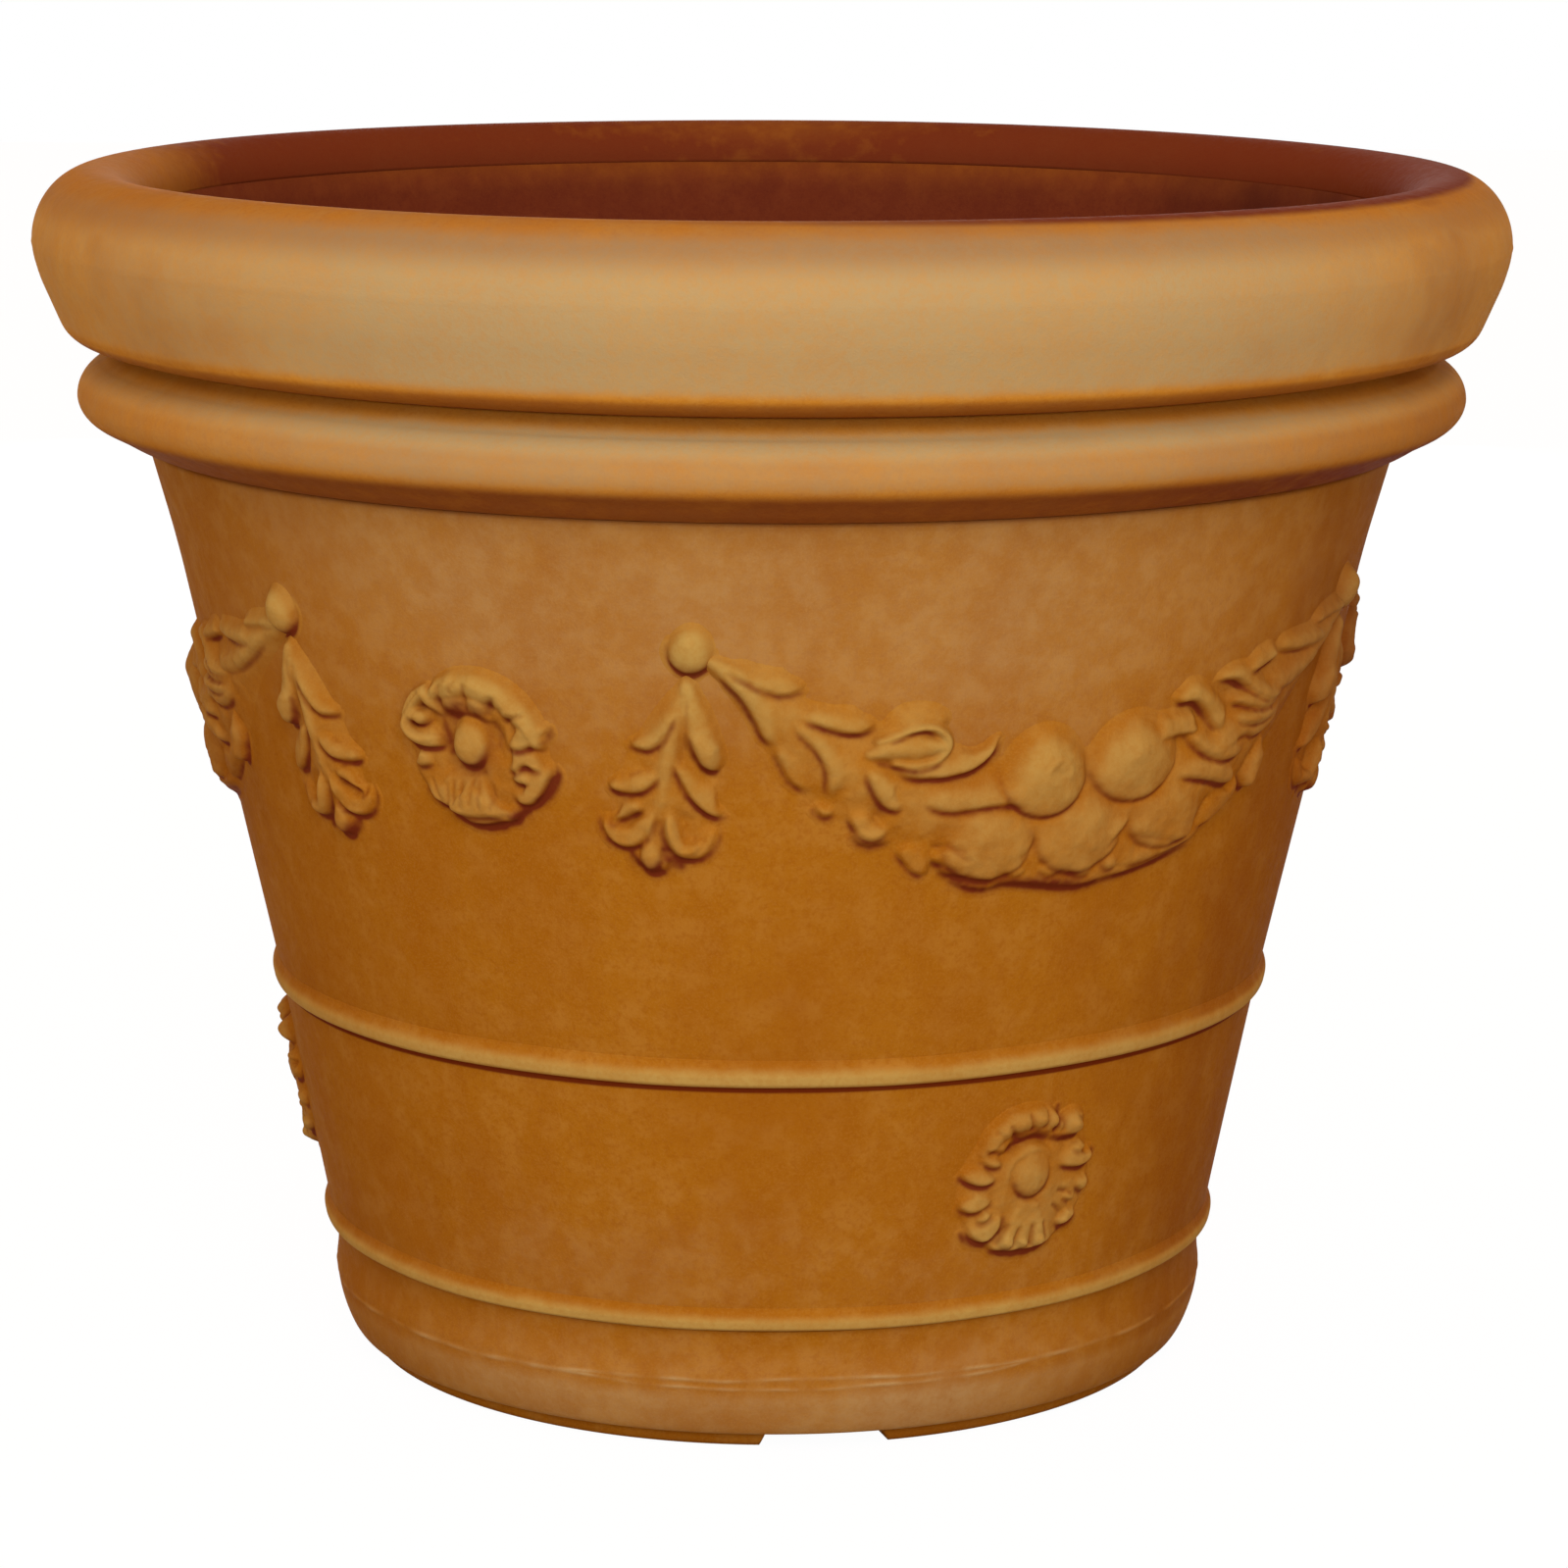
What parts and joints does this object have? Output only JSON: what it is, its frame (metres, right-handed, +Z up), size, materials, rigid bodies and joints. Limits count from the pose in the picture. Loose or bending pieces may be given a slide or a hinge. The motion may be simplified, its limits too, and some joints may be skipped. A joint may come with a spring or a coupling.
{
  "type": "flower pot",
  "caption": "Large round tapered garden planter with a rolled rim, a collar, beads, fruit swags, leaf drops and rosettes in relief, a raised foot and drains.",
  "frame": {"origin": "on the ground, under the middle of the pot", "axes": "+Z up along the pot's axis; -Y is the side that faces the camera in the picture; +X is to its right"},
  "size_m": [0.6738, 0.6738, 0.55],
  "materials": {
    "outer_skin": "matte, mottled antique terracotta",
    "raised_relief": "matte, rubbed lighter on the high spots",
    "inner_skin": "matte, dark red-brown"
  },
  "bodies": {
    "root": {"rolled_rim": "outer_skin", "collar": "outer_skin", "outer_wall": "outer_skin", "middle_bead": "raised_relief", "lower_bead": "raised_relief", "foot_band": "outer_skin", "base_plate": "outer_skin", "plinth_pad_1": "outer_skin", "plinth_pad_2": "outer_skin", "plinth_pad_3": "outer_skin", "inner_wall": "inner_skin", "inner_floor": "inner_skin", "drain_tube_1": "inner_skin", "drain_tube_2": "inner_skin", "drain_tube_3": "inner_skin", "swag_1": "raised_relief", "swag_2": "raised_relief", "swag_3": "raised_relief", "stud_left_1": "raised_relief", "stud_left_2": "raised_relief", "stud_left_3": "raised_relief", "stud_right_1": "raised_relief", "stud_right_2": "raised_relief", "stud_right_3": "raised_relief", "drop_left_1": "raised_relief", "drop_left_2": "raised_relief", "drop_left_3": "raised_relief", "drop_right_1": "raised_relief", "drop_right_2": "raised_relief", "drop_right_3": "raised_relief", "upper_rosette_1": "raised_relief", "upper_rosette_2": "raised_relief", "upper_rosette_3": "raised_relief", "lower_rosette_1": "raised_relief", "lower_rosette_2": "raised_relief", "lower_rosette_3": "raised_relief"}
  },
  "joints": []
}
